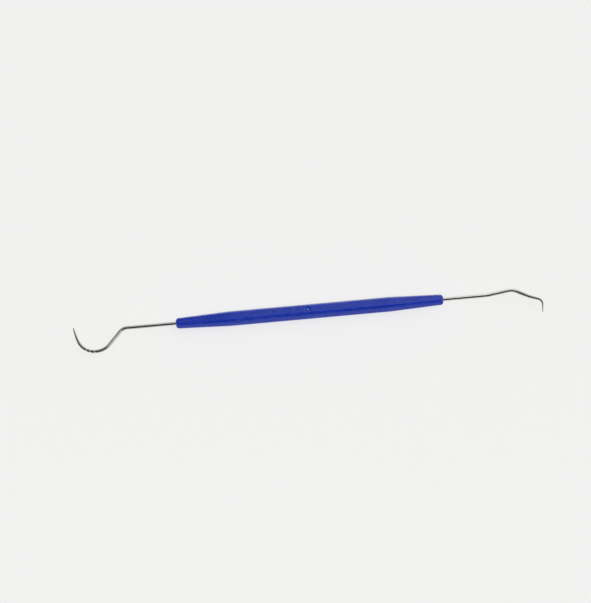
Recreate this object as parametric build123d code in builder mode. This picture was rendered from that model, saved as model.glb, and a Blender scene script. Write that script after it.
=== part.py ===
# Disposable double-ended dental explorer: a moulded hexagonal plastic handle with a steel wire in each end.
# One wire ends in a sickle-shaped hook, the other in a right-angle tip. Millimetres and degrees.
# X runs along the handle, with the hook towards -X and the right-angle tip towards +X.
# Both wires lie in the level plane where the halves of the handle's mould meet.
# The handle rests on its bottom facet, and the origin is the centre of that facet.

import os
from math import asin, cos, pi, sin

from build123d import *

# ---- Handle: straight in the middle and tapered to each end, with a rounded nose round the wire. The top
# and bottom facets are flat, and the four at the sides are crowned and run smoothly into the corners ----
handle_length = 97.0
straight_length = 58.0
mid_across_flats = 5.0
end_across_flats = 3.5
mid_corner_radius = 0.5
side_crown = 0.1
nose_radius = 1.0
nose_steps = 6

# ---- Gate mark: a round dish in the top facet near its middle, with the stub of the sprue in it ----
gate_x = -0.6
dish_diameter = 2.0
dish_depth = 0.32
stub_diameter = 0.8
stub_height = 0.26
stub_edge_radius = 0.1

# ---- Steel wire ----
wire_diameter = 1.2
claw_end_diameter = 0.88
hook_tip_diameter = 0.36
neck_end_diameter = 0.84
angle_tip_diameter = 0.2
tip_edge_radius = 0.08

# ---- Anchor: the buried end of each wire, stamped flat so that it can neither turn nor pull out ----
buried_length = 17.5
anchor_length = 4.5
shoulder_length = 1.5
anchor_width = 2.0
anchor_thickness = 0.58

# ---- Hook wire, from the handle outwards: the claw tapers slowly, and the point quickly ----
hook_shank_length = 17.7
hook_elbow_radius = 3.5
hook_elbow_turn = 48.5
hook_arm_length = 6.15
hook_bowl_radius = 6.65
hook_bowl_turn = 50.0
hook_claw_turn = 70.0
hook_point_radius = 32.0
hook_point_turn = 9.7

# ---- Shallow rings round the claw, placed by how far it has turned since it began to taper ----
ring_turns = (3.0, 16.0, 29.0)
ring_width = 0.6
ring_depth = 0.16

# ---- Right-angle wire, from the handle outwards: it tapers from the fall, slowly and then quickly ----
angle_shank_length = 15.3
angle_rise_radius = 12.0
angle_rise_turn = 8.0
angle_climb_length = 7.0
angle_crest_radius = 4.7
angle_crest_turn = 37.0
angle_fall_length = 4.0
angle_ease_radius = 13.0
angle_ease_turn = 8.0
angle_neck_length = 2.4
angle_bend_radius = 2.2
angle_bend_turn = 75.0
angle_tip_length = 3.1

# ---- Worked out from the driving dimensions ----
axis_height = mid_across_flats / 2
half_length = handle_length / 2
half_straight = straight_length / 2
taper_length = half_length - half_straight
nose_start = half_length - nose_radius
corner_distance = (mid_across_flats / 2 - mid_corner_radius) / cos(pi / 6)
crown_radius = ((corner_distance / 2) ** 2 + side_crown**2) / (2 * side_crown) + mid_corner_radius
crown_turn = asin(corner_distance / 2 / (crown_radius - mid_corner_radius))
dish_sphere_radius = (dish_diameter**2 / 4 + dish_depth**2) / (2 * dish_depth)
ring_cutter_radius = (ring_width**2 / 4 + ring_depth**2) / (2 * ring_depth)
anchor_start = half_length - buried_length
anchor_end = anchor_start + anchor_length
round_start = anchor_end + shoulder_length
wire_plane = Plane.XY.offset(axis_height)

os.makedirs("parts", exist_ok=True)


def plane_across(x, side):
    """The plane square to the handle at x from its middle, on the -X or the +X side, facing outwards."""
    return Plane(origin=(side * x, 0, axis_height), x_dir=(0, side, 0), z_dir=(side, 0, 0))


def plane_on(line, share):
    """The plane square to a line, at a share of its length."""
    return Plane(origin=line @ share, z_dir=line % share)


def round_section(plane, diameter):
    """A section of round wire."""
    with BuildSketch(plane) as section:
        Circle(diameter / 2)
    return section.sketch


def flat_section(plane):
    """A section of a wire's flat anchor."""
    with BuildSketch(plane) as section:
        SlotOverall(anchor_width, anchor_thickness)
    return section.sketch


def is_level(facet):
    """Whether a facet is the top or the bottom one. The facets are numbered as the corners before them."""
    return facet % 3 == 1


def corner_reach(facet):
    """How far a corner's arc turns from its middle before it meets a facet."""
    return pi / 6 if is_level(facet) else pi / 6 - crown_turn


def corner_point(corner, turn, size):
    """A point on a corner of the section, by how far it turns from the corner's middle."""
    middle = pi / 3 * corner
    return (
        size * (corner_distance * cos(middle) + mid_corner_radius * cos(middle + turn)),
        size * (corner_distance * sin(middle) + mid_corner_radius * sin(middle + turn)),
    )


def crown_point(facet, size):
    """The middle of a crowned facet of the section."""
    reach = size * (mid_across_flats / 2 + side_crown)
    normal = pi / 3 * facet + pi / 6
    return (reach * cos(normal), reach * sin(normal))


def hexagon_section(x, side, inset=0.0):
    """A section of the handle, which narrows along its taper, and by an inset on every side at the nose."""
    tapered = (x - half_straight) / taper_length
    across_flats = mid_across_flats + (end_across_flats - mid_across_flats) * tapered - 2 * inset
    size = across_flats / mid_across_flats
    with BuildSketch(plane_across(x, side)) as section:
        with BuildLine():
            for corner in range(6):
                start = corner_point(corner, -corner_reach(corner - 1), size)
                end = corner_point(corner, corner_reach(corner), size)
                following = corner_point(corner + 1, -corner_reach(corner), size)
                ThreePointArc(start, corner_point(corner, 0, size), end)
                if is_level(corner):
                    Line(end, following)
                else:
                    ThreePointArc(end, crown_point(corner, size), following)
        make_face()
    return section.sketch


def add_anchor(side):
    """Add a wire's anchor on the -X or the +X side, and the shoulder that brings it back to round."""
    extrude(flat_section(plane_across(anchor_start, side)), amount=anchor_length)
    shoulder_start = flat_section(plane_across(anchor_end, side))
    shoulder_end = round_section(plane_across(round_start, side), wire_diameter)
    loft([shoulder_start, shoulder_end])


def add_round_wire(*lines):
    """Add wire of the full diameter along joined lines."""
    sweep(round_section(plane_on(lines[0], 0), wire_diameter), path=lines)


def add_tapered_wire(start_diameter, end_diameter, *lines):
    """Add wire along joined lines that tapers evenly from one diameter to another."""
    start = round_section(plane_on(lines[0], 0), start_diameter)
    end = round_section(plane_on(lines[-1], 1), end_diameter)
    sweep([start, end], path=lines, multisection=True)


def round_tip(place):
    """Round the edge of the wire's end face, which is the flat face nearest to a place."""
    tip_face = faces().filter_by(GeomType.PLANE).sort_by_distance(place)[0]
    fillet(tip_face.edges(), tip_edge_radius)


def add_handle_end(side):
    """Add the handle's taper on the -X or the +X side, and the nose that rounds it over."""
    loft([hexagon_section(half_straight, side), hexagon_section(nose_start, side)])
    nose_sections = []
    for step in range(nose_steps + 1):
        angle = pi / 2 * step / nose_steps
        x = nose_start + nose_radius * sin(angle)
        nose_sections.append(hexagon_section(x, side, inset=nose_radius * (1 - cos(angle))))
    loft(nose_sections)


# ---- Hook wire ----
with BuildPart() as hook_tip:
    add_anchor(-1)
    with BuildLine(wire_plane):
        shank = Line((-round_start, 0), (-half_length - hook_shank_length, 0))
        elbow = JernArc(shank @ 1, shank % 1, hook_elbow_radius, hook_elbow_turn)
        arm = PolarLine(elbow @ 1, hook_arm_length, direction=elbow % 1)
        bowl = JernArc(arm @ 1, arm % 1, hook_bowl_radius, -hook_bowl_turn)
        claw = JernArc(bowl @ 1, bowl % 1, hook_bowl_radius, -hook_claw_turn)
        point = JernArc(claw @ 1, claw % 1, hook_point_radius, -hook_point_turn)
    add_round_wire(shank, elbow, arm, bowl)
    add_tapered_wire(wire_diameter, claw_end_diameter, claw)
    add_tapered_wire(claw_end_diameter, hook_tip_diameter, point)
    round_tip(point @ 1)
    for turn in ring_turns:
        share = turn / hook_claw_turn
        claw_radius = (wire_diameter + (claw_end_diameter - wire_diameter) * share) / 2
        with Locations(plane_on(claw, share)):
            Torus(claw_radius - ring_depth + ring_cutter_radius, ring_cutter_radius, mode=Mode.SUBTRACT)

hook_tip.part.label = "hook_tip"
export_step(hook_tip.part, "parts/hook_tip.step")

# ---- Right-angle wire ----
with BuildPart() as right_angle_tip:
    add_anchor(1)
    with BuildLine(wire_plane):
        shank = Line((round_start, 0), (half_length + angle_shank_length, 0))
        rise = JernArc(shank @ 1, shank % 1, angle_rise_radius, angle_rise_turn)
        climb = PolarLine(rise @ 1, angle_climb_length, direction=rise % 1)
        crest = JernArc(climb @ 1, climb % 1, angle_crest_radius, -angle_crest_turn)
        fall = PolarLine(crest @ 1, angle_fall_length, direction=crest % 1)
        ease = JernArc(fall @ 1, fall % 1, angle_ease_radius, angle_ease_turn)
        neck = PolarLine(ease @ 1, angle_neck_length, direction=ease % 1)
        bend = JernArc(neck @ 1, neck % 1, angle_bend_radius, -angle_bend_turn)
        tip = PolarLine(bend @ 1, angle_tip_length, direction=bend % 1)
    add_round_wire(shank, rise, climb, crest)
    add_tapered_wire(wire_diameter, neck_end_diameter, fall, ease, neck)
    add_tapered_wire(neck_end_diameter, angle_tip_diameter, bend, tip)
    round_tip(tip @ 1)

right_angle_tip.part.label = "right_angle_tip"
export_step(right_angle_tip.part, "parts/right_angle_tip.step")

# ---- Handle, moulded round the buried ends of both wires ----
with BuildPart() as handle:
    extrude(hexagon_section(half_straight, 1), amount=-straight_length)
    for side in (-1, 1):
        add_handle_end(side)
    with Locations((gate_x, 0, mid_across_flats - dish_depth + dish_sphere_radius)):
        Sphere(dish_sphere_radius, mode=Mode.SUBTRACT)
    with Locations((gate_x, 0, mid_across_flats - dish_depth)):
        Cylinder(stub_diameter / 2, stub_height, align=(Align.CENTER, Align.CENTER, Align.MIN))
    stub_top = handle.edges(Select.LAST).filter_by(GeomType.CIRCLE).sort_by(Axis.Z)[-1]
    fillet(stub_top, stub_edge_radius)
    for wire in (hook_tip, right_angle_tip):
        add(wire.part, mode=Mode.SUBTRACT)

handle.part.label = "handle"
export_step(handle.part, "parts/handle.step")
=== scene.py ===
import math

import bmesh
import bpy
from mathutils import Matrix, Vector, noise


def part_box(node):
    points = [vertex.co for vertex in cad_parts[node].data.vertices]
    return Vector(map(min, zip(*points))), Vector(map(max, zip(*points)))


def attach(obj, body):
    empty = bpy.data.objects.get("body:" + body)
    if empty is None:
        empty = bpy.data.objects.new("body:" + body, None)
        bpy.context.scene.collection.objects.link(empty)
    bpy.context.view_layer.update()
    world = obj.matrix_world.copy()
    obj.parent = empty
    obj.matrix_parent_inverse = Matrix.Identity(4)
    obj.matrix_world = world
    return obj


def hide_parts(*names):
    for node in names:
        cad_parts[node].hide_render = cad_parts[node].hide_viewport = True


# Disposable double-ended dental explorer: a hexagonal handle moulded in blue plastic, with a steel wire in
# each end. The handle and both wires are built here as fine meshes of the CAD bodies' shape. X runs along
# the handle, with the hook at -X, and both bent wires lie in the level plane through the handle's axis.

MM = 0.001

# ---- Sizes read from the frame ----
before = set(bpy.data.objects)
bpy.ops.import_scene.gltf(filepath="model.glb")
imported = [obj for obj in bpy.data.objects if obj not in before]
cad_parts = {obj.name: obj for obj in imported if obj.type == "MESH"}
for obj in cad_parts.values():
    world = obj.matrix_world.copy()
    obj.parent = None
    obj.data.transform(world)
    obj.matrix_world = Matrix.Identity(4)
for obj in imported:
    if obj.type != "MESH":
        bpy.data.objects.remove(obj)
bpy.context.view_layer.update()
handle_low, handle_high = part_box("handle")
hook_low, hook_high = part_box("hook_tip")
angle_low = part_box("right_angle_tip")[0]
half_length = handle_high.x
mid_across_flats = handle_high.z - handle_low.z
axis_height = (handle_low.z + handle_high.z) / 2
wire_radius = (hook_high.z - hook_low.z) / 2
buried_length = half_length - angle_low.x

# ---- Handle sizes that the frame's boxes don't show ----
half_straight = 29.0 * MM
end_across_flats = 3.5 * MM
mid_corner_radius = 0.5 * MM
nose_radius = 1.0 * MM
nose_start = half_length - nose_radius
crease_half_width = 0.3 * MM
side_crown = 0.1 * MM
flash_height = 0.03 * MM
flash_half_width = 0.05 * MM
flash_mean_share = 0.65
flash_wear_share = 0.35
flash_wear_length = 3 * MM
flash_fade_start = nose_start - 1.0 * MM
cavity_clearance = 0.01 * MM
mouth_rounding = 0.05 * MM
top_facet = 1
facet_turn = 60
corner_half_turn = 30
corner_step = 10
edge_share = 0.015

# ---- Gate mark in the top facet ----
gate_x = -0.6 * MM
dish_radius = 1.0 * MM
dish_depth = 0.32 * MM
dish_lip = 0.015 * MM
lip_outside = 0.045 * MM
lip_inside = 0.05 * MM
hollow_start = 0.9 * MM
hollow_end = 0.5 * MM
stub_radius = 0.4 * MM
stub_height = 0.26 * MM
stub_rounding = 0.1 * MM
stub_foot = 0.05 * MM
stub_top_radii = (0.2 * MM, 0.1 * MM)
torn_height = 0.02 * MM
torn_grain = 0.12 * MM
patch_half_length = 1.3 * MM
patch_margin = 0.5 * MM

# ---- Wires: anchors, tapers and rings ----
anchor_length = 4.5 * MM
shoulder_length = 1.5 * MM
anchor_half_width = 1.0 * MM
anchor_half_thickness = 0.29 * MM
anchor_edge = 0.05 * MM
claw_end_radius = 0.44 * MM
hook_tip_radius = 0.18 * MM
neck_end_radius = 0.42 * MM
angle_tip_radius = 0.1 * MM
ring_width = 0.6 * MM
ring_depth = 0.16 * MM
ring_turns = (3.0, 16.0, 29.0)
sharp_bend_radius = 5 * MM
bend_mark_fade = 1.0 * MM
grinding_fade = 0.4 * MM
ground_and_shade_in_rings = 0.4

# ---- How finely the meshes are divided. ring_reach is in ring widths, and tip_reach in tip radii ----
wire_sides = 48
shoulder_steps = 10
straight_gap = 1.4 * MM
bend_gap = 0.5 * MM
bend_gap_turn = math.radians(4.0)
ring_reach = 0.56
ring_steps = 16
tip_reach = 1.2
tip_turn = 0.47 * math.pi
tip_steps = 6
smallest_gap = 0.004 * MM
taper_steps = 20
nose_steps = 9
straight_steps = 28
patch_steps = 20
top_facet_steps = 14
facet_steps = 6
lip_steps = 6
hollow_steps = 7
foot_steps = 4
stub_edge_steps = 5
floor_sides = 64

# ---- Wire routes from the buried end, in stages. Each has the wire's radius at its end, and its straight
# lengths and its bends, as radius and signed turn ----
hook_bowl_radius = 6.65 * MM
hook_shank = [
    ("straight", buried_length + 17.7 * MM),
    ("bend", 3.5 * MM, 48.5),
    ("straight", 6.15 * MM),
    ("bend", hook_bowl_radius, -50.0),
]
hook_claw = [("bend", hook_bowl_radius, -70.0)]
hook_point = [("bend", 32.0 * MM, -9.7)]
hook_stages = [(wire_radius, hook_shank), (claw_end_radius, hook_claw), (hook_tip_radius, hook_point)]

angle_shank = [
    ("straight", buried_length + 15.3 * MM),
    ("bend", 12.0 * MM, 8.0),
    ("straight", 7.0 * MM),
    ("bend", 4.7 * MM, -37.0),
]
angle_neck = [
    ("straight", 4.0 * MM),
    ("bend", 13.0 * MM, 8.0),
    ("straight", 2.4 * MM),
]
angle_tip = [
    ("bend", 2.2 * MM, -75.0),
    ("straight", 3.1 * MM),
]
angle_stages = [(wire_radius, angle_shank), (neck_end_radius, angle_neck), (angle_tip_radius, angle_tip)]

# ---- Colours, as linear red, green, blue and alpha ----
plastic_dark = (0.009, 0.043, 0.45, 1)
plastic_light = (0.012, 0.054, 0.51, 1)
# Paler blue for the torn stub: partly stress whitening, partly a painted highlight.
plastic_stressed_and_highlight = (0.15, 0.23, 0.8, 1)
steel_dull = (0.54, 0.54, 0.5, 1)
steel_bright = (0.64, 0.64, 0.61, 1)
steel_pit = (0.2, 0.19, 0.17, 1)
# Darker steel for the taper made by grinding: partly its finish, partly painted shade.
steel_ground_and_shade = (0.36, 0.36, 0.34, 1)
floor_colour = (0.3, 0.3, 0.3, 1)
floor_glow_colour = (0.88, 0.88, 0.87, 1)

# ---- For both materials: metres to millimetres, and the limits of a ramp over most of a noise ----
to_millimetres = (1 / MM, 1 / MM, 1 / MM)
wide_limits = (0.3, 0.7)

# ---- Blue plastic. A scale is the features to a millimetre along X, Y and Z ----
streak_scale = (0.06, 1.6, 1.6)
streak_limits = (0.35, 0.65)
plastic_cloud_scale = (0.12, 0.3, 0.3)
ripple_scale = (0.25, 0.9, 0.9)
ripple_height = 0.012 * MM
peel_scale = (4.0, 4.0, 4.0)
peel_height = 0.0015 * MM
scuff_scale = (0.7, 22.0, 22.0)
scuff_limits = (0.68, 0.76)
cross_scuff_scale = (18.0, 0.8, 18.0)
cross_scuff_turn = math.radians(23)
cross_scuff_limits = (0.7, 0.78)
scuff_depth = 0.0008 * MM
scuff_roughness = 0.12
stub_whitening_and_highlight_limits = (0.35 * MM, 0.55 * MM)
plastic_roughness = (0.22, 0.32)
plastic_ior = 1.5
scatter_radius = (0.1, 0.3, 1.0)
scatter_scale = 1.6 * MM

# ---- Steel. A scale is the features to a millimetre along the wire and in both directions across it ----
drawn_scale = (0.25, 14.0, 14.0)
turned_scale = (16.0, 0.9, 0.9)
line_height = 0.0012 * MM
steel_cloud_scale = (0.5, 1.2, 1.2)
pit_scale = (9.0, 9.0, 9.0)
pit_limits = (0.7, 0.78)
pit_strength = 0.5
pit_depth = 0.002 * MM
pressed_scale = (3.0, 2.0, 2.0)
pressed_limits = (0.4, 0.6)
pressed_height = 0.003 * MM
steel_roughness = (0.1, 0.16)
pressed_roughness = 0.08
ground_roughness = 0.06

# ---- Floor, light and camera. The pale wall begins over back_rise, an angle from the front over the top.
# From left to right it changes level over back_change and falls off over back_end, as X of a direction ----
floor_radius = 3.0
floor_glow = 0.74
floor_roughness = 0.9
studio_dark = 0.04
back_rise = (math.radians(84), math.radians(118))
back_left = 0.12
back_right = 1.15
back_change = (-0.1, 0.1)
back_end = (0.28, 0.5)
back_end_share = 0.1
window_direction = Vector((0.82, -0.05, 0.57)).normalized()
window_edge = (math.cos(math.radians(34)), math.cos(math.radians(24)))
window_level = 1.0
lamp_size = 1.1
lamp_power = 24.0
lamp_azimuth = math.radians(-5.6)
lamp_elevation = math.radians(68)
lamp_distance = 2.2
camera_azimuth = math.radians(-5.53)
camera_elevation = math.radians(68)
camera_distance = 1.0
sensor_width = 36.0
view_height = 218.2 * MM
view_centre = Vector((-4.76 * MM, 4.39 * MM, 2.4 * MM))


def smooth(low, high, value):
    """0 below low, 1 above high, and an eased step between."""
    t = min(1.0, max(0.0, (value - low) / (high - low)))
    return t * t * (3 - 2 * t)


def spread(low, high, count):
    """count + 1 even values from low to high."""
    return [low + (high - low) * i / count for i in range(count + 1)]


def merged(values, nearest):
    """Sorted values, without those that come closer than nearest to the one before."""
    kept = []
    for value in sorted(values):
        if not kept or value - kept[-1] > nearest:
            kept.append(value)
    return kept


def bridge(bm, ring, following):
    """Quads between two closed rings."""
    for i in range(len(ring)):
        j = (i + 1) % len(ring)
        bm.faces.new((ring[i], ring[j], following[j], following[i]))


def finished_object(name, bm):
    """A smooth-shaded object from a closed bmesh, with its faces turned outwards."""
    bmesh.ops.recalc_face_normals(bm, faces=bm.faces)
    mesh = bpy.data.meshes.new(name)
    bm.to_mesh(mesh)
    bm.free()
    mesh.polygons.foreach_set("use_smooth", [True] * len(mesh.polygons))
    piece = bpy.data.objects.new(name, mesh)
    bpy.context.scene.collection.objects.link(piece)
    return piece


def stadium(half_width, half_thickness, angles):
    """A flat section with round edges, which is a circle where its two half sizes are equal."""
    straight = half_width - half_thickness
    points = []
    for angle in angles:
        wide = half_width * math.cos(angle)
        high = half_thickness * math.sin(angle)
        core = max(-straight, min(straight, wide))
        out = Vector((wide - core, high)).normalized() * half_thickness
        points.append((core + out.x, out.y))
    return points


def buried_size(distance):
    """Half the width and half the thickness of a wire at a distance from its buried end."""
    t = smooth(anchor_length, anchor_length + shoulder_length, distance)
    return (
        anchor_half_width + (wire_radius - anchor_half_width) * t,
        anchor_half_thickness + (wire_radius - anchor_half_thickness) * t,
    )


# ---------------------------------------------------------------- wires


def run_length(run):
    """The length of one straight or bend along its centreline."""
    return run[1] if run[0] == "straight" else run[1] * math.radians(abs(run[2]))


def place_on(runs, side, distance):
    """The point and heading at a distance from the buried end, on the -X or the +X side."""
    x = side * (half_length - buried_length)
    y = 0.0
    heading = math.pi if side < 0 else 0.0
    for run in runs:
        step = min(distance, run_length(run))
        distance -= step
        if run[0] == "straight":
            x += step * math.cos(heading)
            y += step * math.sin(heading)
        else:
            radius = math.copysign(run[1], run[2])
            turned = step / radius
            x += radius * (math.sin(heading + turned) - math.sin(heading))
            y -= radius * (math.cos(heading + turned) - math.cos(heading))
            heading += turned
    return x, y, heading


def wire_stations(runs, total, tip_radius, ring_places):
    """Distances along a wire at which it has a ring of vertices: close together where its shape changes."""
    stations = [0.0, anchor_edge]
    stations += spread(anchor_length, anchor_length + shoulder_length, shoulder_steps)
    start = 0.0
    for run in runs:
        length = run_length(run)
        longest = straight_gap if run[0] == "straight" else min(bend_gap, run[1] * bend_gap_turn)
        stations += spread(start, start + length, math.ceil(length / longest))
        start += length
    for place in ring_places:
        stations += spread(place - ring_reach * ring_width, place + ring_reach * ring_width, ring_steps)
    stations = [station for station in stations if station < total - tip_reach * tip_radius]
    stations += [total - tip_radius * (1 - math.sin(angle)) for angle in spread(0, tip_turn, tip_steps)]
    return merged(stations, smallest_gap)


def wire_size(distance, stage_ends, ring_places):
    """Half the width and half the thickness of a wire at a distance from its buried end."""
    if distance < stage_ends[0][0]:
        wide, high = buried_size(distance)
        eased = anchor_edge - min(anchor_edge, distance)
        return wide - eased, high - eased
    radius = wire_radius
    for (start, start_radius), (end, end_radius) in zip(stage_ends, stage_ends[1:]):
        share = min(1.0, max(0.0, (distance - start) / (end - start)))
        radius += (end_radius - start_radius) * share
    total, tip_radius = stage_ends[-1]
    for place in ring_places:
        off = abs(distance - place) / (ring_width / 2)
        radius -= ring_depth * max(0.0, 1 - off * off)
    into_tip = max(0.0, 1 - (total - distance) / tip_radius)
    radius *= math.sqrt(1 - into_tip * into_tip)
    return radius, radius


def build_wire(name, side, stages, ring_places=()):
    """One steel wire: anchor, shoulder and round shank, then the taper, made by grinding, that runs to the
    tip.

    Three attributes go to its material: unbent, each vertex's place on the wire as if it were straight;
    ground_and_shade, 1 on the taper made by grinding and less in its rings, which sets its finish and its
    painted shade; and bent, 1 at a sharp bend.
    """
    runs = []
    stage_ends = []
    sharp_bends = []
    total = 0.0
    for end_radius, stage_runs in stages:
        for run in stage_runs:
            if run[0] == "bend" and run[1] < sharp_bend_radius:
                sharp_bends.append((total, total + run_length(run)))
            total += run_length(run)
        runs += stage_runs
        stage_ends.append((total, end_radius))
    taper_start = stage_ends[0][0]
    tip_radius = stage_ends[-1][1]
    ring_places = [taper_start + place for place in ring_places]
    bm = bmesh.new()
    unbent = bm.verts.layers.float_vector.new("unbent")
    ground_and_shade = bm.verts.layers.float.new("ground_and_shade")
    bent = bm.verts.layers.float.new("bent")
    angles = [2 * math.pi * i / wire_sides for i in range(wire_sides)]
    rings = []
    for distance in wire_stations(runs, total, tip_radius, ring_places):
        x, y, heading = place_on(runs, side, distance)
        wide, high = wire_size(distance, stage_ends, ring_places)
        across = Vector((-math.sin(heading), math.cos(heading), 0))
        # How much of the wire is taper made by grinding, less in its rings: this sets its finish and how far
        # painted shade darkens it.
        ground_and_shade_share = smooth(taper_start - grinding_fade, taper_start + grinding_fade, distance)
        if any(abs(distance - place) < ring_width / 2 for place in ring_places):
            ground_and_shade_share *= ground_and_shade_in_rings
        marked = max(
            smooth(start - bend_mark_fade, start, distance) - smooth(end, end + bend_mark_fade, distance)
            for start, end in sharp_bends
        )
        ring = []
        for w, h in stadium(wide, high, angles):
            vert = bm.verts.new(Vector((x, y, axis_height + h)) + across * w)
            vert[unbent] = (distance, w, h)
            vert[ground_and_shade] = ground_and_shade_share
            vert[bent] = marked
            ring.append(vert)
        rings.append(ring)
    for ring, following in zip(rings, rings[1:]):
        bridge(bm, ring, following)
    bm.faces.new(rings[0])
    bm.faces.new(rings[-1])
    return finished_object(name, bm)


# ---------------------------------------------------------------- handle


def handle_rows():
    """The x and inset of each section of the handle, and the numbers of those that bound the gate mark."""
    end = [(x, 0.0) for x in spread(half_straight + crease_half_width, nose_start, taper_steps)]
    for angle in spread(0, math.pi / 2, nose_steps)[1:]:
        end.append((nose_start + nose_radius * math.sin(angle), nose_radius * (1 - math.cos(angle))))
    patch = spread(gate_x - patch_half_length, gate_x + patch_half_length, patch_steps)
    left = spread(-half_straight + crease_half_width, patch[0] - patch_margin, straight_steps)
    right = spread(patch[-1] + patch_margin, half_straight - crease_half_width, straight_steps)
    rows = [(-x, inset) for x, inset in reversed(end)]
    rows += [(x, 0.0) for x in left]
    low_row = len(rows)
    rows += [(x, 0.0) for x in patch + right]
    return rows + end, low_row, low_row + patch_steps


def handle_columns():
    """The points round a section: a corner and degrees from its middle, or a facet and a share of it."""
    flash_angle = math.degrees(flash_half_width / mid_corner_radius)
    columns = []
    for side in range(6):
        on_mould_line = side % 3 == 0
        near = flash_angle if on_mould_line else corner_step
        angles = [-corner_half_turn, -2 * corner_step, -near, 0, near, 2 * corner_step, corner_half_turn]
        columns += [("corner", side, angle) for angle in angles]
        shares = spread(0, 1, top_facet_steps if side == top_facet else facet_steps)
        shares[0] = edge_share
        shares[-1] = 1 - edge_share
        columns += [("facet", side, share) for share in shares]
    return columns


def is_level(facet):
    """Whether a facet is the top or the bottom one."""
    return facet % 3 == top_facet


def flash_at(x):
    """The height of the mould's flash at x: it varies along the handle, and fades out over the noses."""
    wear = flash_mean_share + flash_wear_share * noise.noise(Vector((x / flash_wear_length, 0, 0)))
    return flash_height * wear * smooth(half_length, flash_fade_start, abs(x))


def handle_section(x, inset, columns):
    """The points of one section of the handle, as offsets in Y and Z from its axis.

    The top and bottom facets are flat. The four at the sides are crowned, as arcs that run smoothly into
    the corners: crown_centre is how far beyond the axis the middle of such an arc lies.
    """
    tapered = max(0.0, abs(x) - half_straight) / (half_length - half_straight)
    across_flats = mid_across_flats + (end_across_flats - mid_across_flats) * tapered - 2 * inset
    scale = across_flats / mid_across_flats
    crown = side_crown * scale
    corner_radius = mid_corner_radius * scale
    corner_distance = (across_flats / 2 - corner_radius) / math.cos(math.pi / 6)
    crown_centre = ((corner_distance / 2) ** 2 - crown**2) / (2 * crown) - (across_flats / 2 - corner_radius)
    crown_radius = across_flats / 2 + crown + crown_centre
    crown_turn = math.asin(corner_distance / 2 / (crown_radius - corner_radius))
    points = []
    for kind, side, place in columns:
        if kind == "corner":
            middle = math.radians(facet_turn * side)
            facet = side if place > 0 else side - 1
            turn = math.radians(place)
            if not is_level(facet):
                turn -= crown_turn * place / corner_half_turn
            on_flash = side % 3 == 0 and place == 0
            reach = corner_radius + (flash_at(x) if on_flash else 0)
            y = corner_distance * math.cos(middle) + reach * math.cos(middle + turn)
            z = corner_distance * math.sin(middle) + reach * math.sin(middle + turn)
        else:
            normal = math.radians(facet_turn * side + corner_half_turn)
            if is_level(side):
                along = corner_distance * (place - 0.5)
                out = across_flats / 2
            else:
                along = crown_radius * math.sin(crown_turn * (2 * place - 1))
                out = crown_radius * math.cos(crown_turn * (2 * place - 1)) - crown_centre
            y = out * math.cos(normal) - along * math.sin(normal)
            z = out * math.sin(normal) + along * math.cos(normal)
        points.append((y, z))
    return points


def add_ring(bm, x, points):
    """A ring of vertices at x, from offsets in Y and Z from the handle's axis."""
    return [bm.verts.new((x, y, axis_height + z)) for y, z in points]


def gate_profile():
    """The gate mark from its rim to its middle, as radii and depths below the facet."""
    sphere_radius = (dish_radius**2 + dish_depth**2) / (2 * dish_depth)

    def dish(radius):
        hollow = math.sqrt(sphere_radius**2 - radius**2) - (sphere_radius - dish_depth)
        return (hollow + math.sqrt(hollow**2 + dish_lip**2)) / 2

    lip = [dish_radius + out for out in spread(lip_outside, -lip_inside, lip_steps)]
    profile = [(radius, dish(radius)) for radius in lip + spread(hollow_start, hollow_end, hollow_steps)]
    for angle in spread(0, math.pi / 2, foot_steps):
        radius = stub_radius + stub_foot * (1 - math.sin(angle))
        profile.append((radius, dish(radius) - stub_foot * (1 - math.cos(angle))))
    top_depth = dish_depth - stub_height
    for angle in spread(0, math.pi / 2, stub_edge_steps):
        radius = stub_radius - stub_rounding * (1 - math.cos(angle))
        profile.append((radius, top_depth + stub_rounding * (1 - math.sin(angle))))
    profile += [(radius, top_depth) for radius in stub_top_radii]
    return profile


def add_gate_mark(bm, border):
    """Fill a hole in the top facet with the round dish and the torn stub in its middle."""
    angles = [math.atan2(vert.co.y, vert.co.x - gate_x) for vert in border]
    ring = border
    for radius, depth in gate_profile():
        following = []
        for angle in angles:
            x = gate_x + radius * math.cos(angle)
            y = radius * math.sin(angle)
            torn = torn_height * noise.noise(Vector((x, y, 0)) / torn_grain) if radius < stub_radius else 0
            following.append(bm.verts.new((x, y, mid_across_flats - depth + torn)))
        bridge(bm, ring, following)
        ring = following
    bm.faces.new(ring)


def add_cavity(bm, mouth, side, angles):
    """Line the cavity that holds a wire's buried end, inwards from its mouth in the handle's nose."""
    stations = [buried_length, buried_length - mouth_rounding]
    stations += reversed(spread(anchor_length, anchor_length + shoulder_length, shoulder_steps))
    stations += [0.0]
    ring = mouth
    for distance in stations:
        wide, high = buried_size(distance)
        gap = cavity_clearance + max(0.0, distance - (buried_length - mouth_rounding))
        x = side * (half_length - buried_length + distance)
        if distance == 0.0:
            x -= side * cavity_clearance
        following = add_ring(bm, x, stadium(wide + gap, high + gap, angles))
        bridge(bm, ring, following)
        ring = following
    bm.faces.new(ring)


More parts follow.
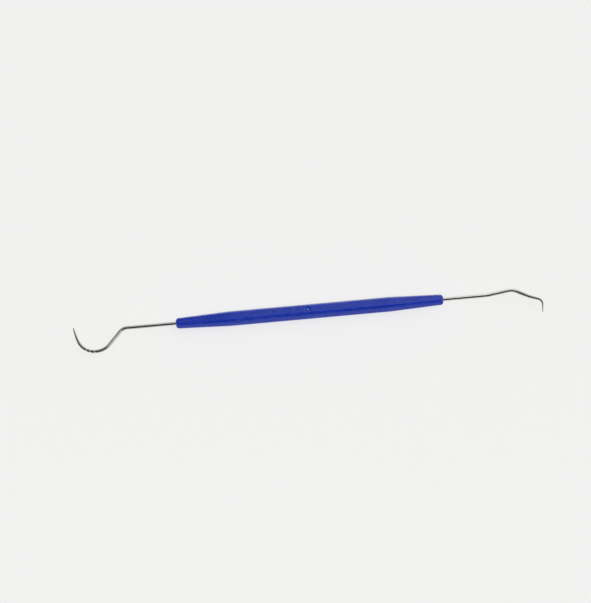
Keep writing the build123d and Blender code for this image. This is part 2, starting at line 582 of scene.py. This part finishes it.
def build_handle():
    """The moulded handle, with its gate mark and the cavities that hold the wires."""
    bm = bmesh.new()
    columns = handle_columns()
    rows, low_row, high_row = handle_rows()
    rings = [add_ring(bm, x, handle_section(x, inset, columns)) for x, inset in rows]
    for ring, following in zip(rings, rings[1:]):
        bridge(bm, ring, following)
    for ring, side in ((rings[0], -1), (rings[-1], 1)):
        angles = [math.atan2(vert.co.z - axis_height, vert.co.y) for vert in ring]
        add_cavity(bm, ring, side, angles)

    first = columns.index(("facet", top_facet, edge_share))
    last = columns.index(("facet", top_facet, 1 - edge_share))
    across = range(first, last + 1)
    along = range(low_row + 1, high_row)
    border = [rings[low_row][i] for i in across]
    border += [rings[row][last] for row in along]
    border += [rings[high_row][i] for i in reversed(across)]
    border += [rings[row][first] for row in reversed(along)]
    patch = {vert for row in range(low_row, high_row + 1) for vert in rings[row][first:last + 1]}
    inside = [face for face in bm.faces if all(vert in patch for vert in face.verts)]
    bmesh.ops.delete(bm, geom=inside, context="FACES")
    add_gate_mark(bm, border)
    return finished_object("handle_moulding", bm)


# ---------------------------------------------------------------- materials


def node_outputs(tree, kind, inputs=(), **settings):
    """Add a node with its settings, and with sockets linked or set to values. Returns its outputs."""
    made = tree.nodes.new(kind)
    for setting, value in settings.items():
        setattr(made, setting, value)
    for socket, value in dict(inputs).items():
        if isinstance(value, bpy.types.NodeSocket):
            tree.links.new(value, made.inputs[socket])
        else:
            made.inputs[socket].default_value = value
    return made.outputs


def add_node(tree, kind, inputs=(), **settings):
    """Add a node in the same way, and return its first output."""
    return node_outputs(tree, kind, inputs, **settings)[0]


def scaled(tree, vector, scale):
    """A coordinate stretched by a different factor along each axis."""
    return add_node(tree, "ShaderNodeVectorMath", {0: vector, 1: scale}, operation="MULTIPLY")


def grain(tree, vector, detail=2.0, roughness=0.5):
    """Noise between 0 and 1, with a feature about every unit of its coordinate."""
    inputs = {"Vector": vector, "Scale": 1.0, "Detail": detail, "Roughness": roughness}
    return add_node(tree, "ShaderNodeTexNoise", inputs)


def ramp(tree, value, limits, levels=(0.0, 1.0)):
    """A value eased from one level to the other between its limits, and held beyond them."""
    inputs = {"Value": value, 1: limits[0], 2: limits[1], 3: levels[0], 4: levels[1]}
    return add_node(tree, "ShaderNodeMapRange", inputs, interpolation_type="SMOOTHSTEP")


def combine(tree, operation, first, second):
    """Two values put together by a Math node."""
    return add_node(tree, "ShaderNodeMath", {0: first, 1: second}, operation=operation)


def blend_colours(tree, share, first, second):
    """A colour that goes from the first to the second as share goes from 0 to 1."""
    made = tree.nodes.new("ShaderNodeMix")
    made.data_type = "RGBA"
    colours = [socket for socket in made.inputs if socket.type == "RGBA"]
    for socket, value in zip([made.inputs[0], *colours], [share, first, second]):
        if isinstance(value, bpy.types.NodeSocket):
            tree.links.new(value, socket)
        else:
            socket.default_value = value
    return next(socket for socket in made.outputs if socket.type == "RGBA")


def bump(tree, height, distance, normal=None):
    """A bump as high as distance, on top of another bump's normal if there is one."""
    inputs = {"Height": height, "Distance": distance, "Strength": 1.0}
    if normal:
        inputs["Normal"] = normal
    return add_node(tree, "ShaderNodeBump", inputs)


def start_material(name):
    """A material, its node tree and its shader's sockets."""
    material = bpy.data.materials.new(name)
    material.use_nodes = True
    tree = material.node_tree
    return material, tree, tree.nodes["Principled BSDF"].inputs


def blue_plastic():
    """Semi-gloss blue plastic that lets a little light in, with flow streaks, a faint ripple and scuffs."""
    material, tree, shader = start_material("blue_plastic")
    place = node_outputs(tree, "ShaderNodeTexCoord")["Object"]
    millimetres = scaled(tree, place, to_millimetres)
    streaks = grain(tree, scaled(tree, millimetres, streak_scale), detail=3.0)
    clouds = grain(tree, scaled(tree, millimetres, plastic_cloud_scale))
    ripple = grain(tree, scaled(tree, millimetres, ripple_scale), detail=1.0)
    peel = grain(tree, scaled(tree, millimetres, peel_scale))

    turned = add_node(
        tree,
        "ShaderNodeVectorRotate",
        {"Vector": millimetres, "Angle": cross_scuff_turn},
        rotation_type="Z_AXIS",
    )
    scuffs = grain(tree, scaled(tree, millimetres, scuff_scale), detail=1.0)
    cross_scuffs = grain(tree, scaled(tree, turned, cross_scuff_scale), detail=1.0)
    scuffs = ramp(tree, scuffs, scuff_limits)
    cross_scuffs = ramp(tree, cross_scuffs, cross_scuff_limits)
    scuffs = combine(tree, "MAXIMUM", scuffs, cross_scuffs)

    colour = blend_colours(tree, ramp(tree, streaks, streak_limits), plastic_dark, plastic_light)
    # The torn stub turns paler blue: partly stress whitening, partly a painted highlight.
    gate = {0: place, 1: (gate_x, 0, mid_across_flats)}
    from_gate = node_outputs(tree, "ShaderNodeVectorMath", gate, operation="DISTANCE")["Value"]
    torn = ramp(tree, from_gate, stub_whitening_and_highlight_limits, (1.0, 0.0))
    colour = blend_colours(tree, torn, colour, plastic_stressed_and_highlight)
    tree.links.new(colour, shader["Base Color"])

    roughness = ramp(tree, clouds, wide_limits, plastic_roughness)
    roughness = combine(tree, "ADD", roughness, combine(tree, "MULTIPLY", scuffs, scuff_roughness))
    tree.links.new(roughness, shader["Roughness"])
    shader["IOR"].default_value = plastic_ior
    shader["Subsurface Weight"].default_value = 1.0
    shader["Subsurface Radius"].default_value = scatter_radius
    shader["Subsurface Scale"].default_value = scatter_scale

    normal = bump(tree, ripple, ripple_height)
    normal = bump(tree, peel, peel_height, normal)
    normal = bump(tree, combine(tree, "SUBTRACT", 1.0, scuffs), scuff_depth, normal)
    tree.links.new(normal, shader["Normal"])
    return material


def wire_steel():
    """Drawn stainless wire: lines along it where it is round, and round it along the taper made by grinding,
    which is darker steel, partly painted shade.
    """
    material, tree, shader = start_material("wire_steel")
    unbent = node_outputs(tree, "ShaderNodeAttribute", attribute_name="unbent")["Vector"]
    ground_and_shade = node_outputs(tree, "ShaderNodeAttribute", attribute_name="ground_and_shade")["Fac"]
    bent = node_outputs(tree, "ShaderNodeAttribute", attribute_name="bent")["Fac"]
    millimetres = scaled(tree, unbent, to_millimetres)

    drawn = grain(tree, scaled(tree, millimetres, drawn_scale), detail=3.0, roughness=0.6)
    turned = grain(tree, scaled(tree, millimetres, turned_scale), detail=3.0, roughness=0.6)
    lines = add_node(tree, "ShaderNodeMix", {0: ground_and_shade, 2: drawn, 3: turned})
    clouds = grain(tree, scaled(tree, millimetres, steel_cloud_scale))
    pits = grain(tree, scaled(tree, millimetres, pit_scale), detail=1.0)
    pits = ramp(tree, pits, pit_limits)
    pressed = grain(tree, scaled(tree, millimetres, pressed_scale))
    pressed = combine(tree, "MULTIPLY", bent, ramp(tree, pressed, pressed_limits))

    colour = blend_colours(tree, ramp(tree, clouds, wide_limits), steel_dull, steel_bright)
    # The taper made by grinding is darker steel: partly its finish, partly painted shade.
    colour = blend_colours(tree, ground_and_shade, colour, steel_ground_and_shade)
    colour = blend_colours(tree, combine(tree, "MULTIPLY", pits, pit_strength), colour, steel_pit)
    tree.links.new(colour, shader["Base Color"])
    shader["Metallic"].default_value = 1.0

    roughness = ramp(tree, lines, wide_limits, steel_roughness)
    roughness = combine(tree, "ADD", roughness, combine(tree, "MULTIPLY", pressed, pressed_roughness))
    roughness = combine(tree, "ADD", roughness, combine(tree, "MULTIPLY", ground_and_shade, ground_roughness))
    tree.links.new(roughness, shader["Roughness"])

    normal = bump(tree, lines, line_height)
    normal = bump(tree, pressed, pressed_height, normal)
    normal = bump(tree, combine(tree, "SUBTRACT", 1.0, pits), pit_depth, normal)
    tree.links.new(normal, shader["Normal"])
    return material


# ---------------------------------------------------------------- the object


def add_piece(piece, node, material):
    """Let a piece stand for a CAD node, with a material."""
    piece.data.materials.append(material)
    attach(piece, "root")
    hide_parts(node)


steel = wire_steel()
add_piece(build_handle(), "handle", blue_plastic())
hook_rings = [math.radians(turn) * hook_bowl_radius for turn in ring_turns]
hook_wire = build_wire("hook_wire", -1, hook_stages, hook_rings)
add_piece(hook_wire, "hook_tip", steel)
angle_wire = build_wire("right_angle_wire", 1, angle_stages)
add_piece(angle_wire, "right_angle_tip", steel)

# ---------------------------------------------------------------- floor, light and camera


def direction_to(azimuth, elevation):
    """The direction from the object, where azimuth 0 is towards -Y and 90 degrees towards +X."""
    level = math.cos(elevation)
    return Vector((math.sin(azimuth) * level, -math.cos(azimuth) * level, math.sin(elevation)))


def build_floor():
    """A wide, pale floor that mostly glows, like a light table, so that shadows on it stay faint."""
    bm = bmesh.new()
    angles = spread(0, 2 * math.pi, floor_sides)[:-1]
    rim = [(floor_radius * math.cos(angle), floor_radius * math.sin(angle)) for angle in angles]
    bm.faces.new([bm.verts.new((x, y, 0)) for x, y in rim])
    floor = finished_object("floor", bm)
    material, _, shader = start_material("floor")
    shader["Base Color"].default_value = floor_colour
    shader["Roughness"].default_value = floor_roughness
    shader["Specular IOR Level"].default_value = 0.0
    shader["Emission Color"].default_value = floor_glow_colour
    shader["Emission Strength"].default_value = floor_glow
    floor.data.materials.append(material)


def build_world():
    """A dim studio with a pale wall behind the object, brighter on the right, and a window at the right."""
    world = bpy.data.worlds.new("studio")
    bpy.context.scene.world = world
    world.use_nodes = True
    tree = world.node_tree
    direction = node_outputs(tree, "ShaderNodeTexCoord")["Generated"]
    split = node_outputs(tree, "ShaderNodeSeparateXYZ", {0: direction})
    front = combine(tree, "MULTIPLY", split["Y"], -1.0)
    around = combine(tree, "ARCTAN2", split["Z"], front)
    wall = ramp(tree, around, back_rise)
    wall = combine(tree, "MULTIPLY", wall, ramp(tree, split["X"], back_change, (back_left, back_right)))
    wall = combine(tree, "MULTIPLY", wall, ramp(tree, split["X"], back_end, (1.0, back_end_share)))
    sides = {0: direction, 1: window_direction}
    facing = node_outputs(tree, "ShaderNodeVectorMath", sides, operation="DOT_PRODUCT")["Value"]
    window = ramp(tree, facing, window_edge, (0.0, window_level))
    light = combine(tree, "ADD", combine(tree, "ADD", wall, window), studio_dark)
    tree.links.new(light, tree.nodes["Background"].inputs["Strength"])
    tree.nodes["Background"].inputs["Color"].default_value = (1, 1, 1, 1)


def add_lamp():
    """A wide, soft lamp behind the camera, which lights the object but isn't mirrored in it."""
    lamp = bpy.data.lights.new("lamp", "AREA")
    lamp.shape = "DISK"
    lamp.size = lamp_size
    lamp.energy = lamp_power
    holder = bpy.data.objects.new("lamp", lamp)
    back = direction_to(lamp_azimuth, lamp_elevation)
    holder.location = back * lamp_distance
    holder.rotation_euler = back.to_track_quat("Z", "Y").to_euler()
    holder.visible_glossy = False
    bpy.context.scene.collection.objects.link(holder)


def add_camera():
    """The camera, which looks steeply down on the object from the front."""
    back = direction_to(camera_azimuth, camera_elevation)
    camera = bpy.data.cameras.new("camera")
    camera.sensor_width = sensor_width
    camera.lens = camera.sensor_width * camera_distance / view_height
    holder = bpy.data.objects.new("camera", camera)
    holder.location = view_centre + back * camera_distance
    holder.rotation_euler = back.to_track_quat("Z", "Y").to_euler()
    bpy.context.scene.collection.objects.link(holder)
    bpy.context.scene.camera = holder


build_floor()
build_world()
add_lamp()
add_camera()
bpy.context.scene.view_settings.view_transform = "Standard"
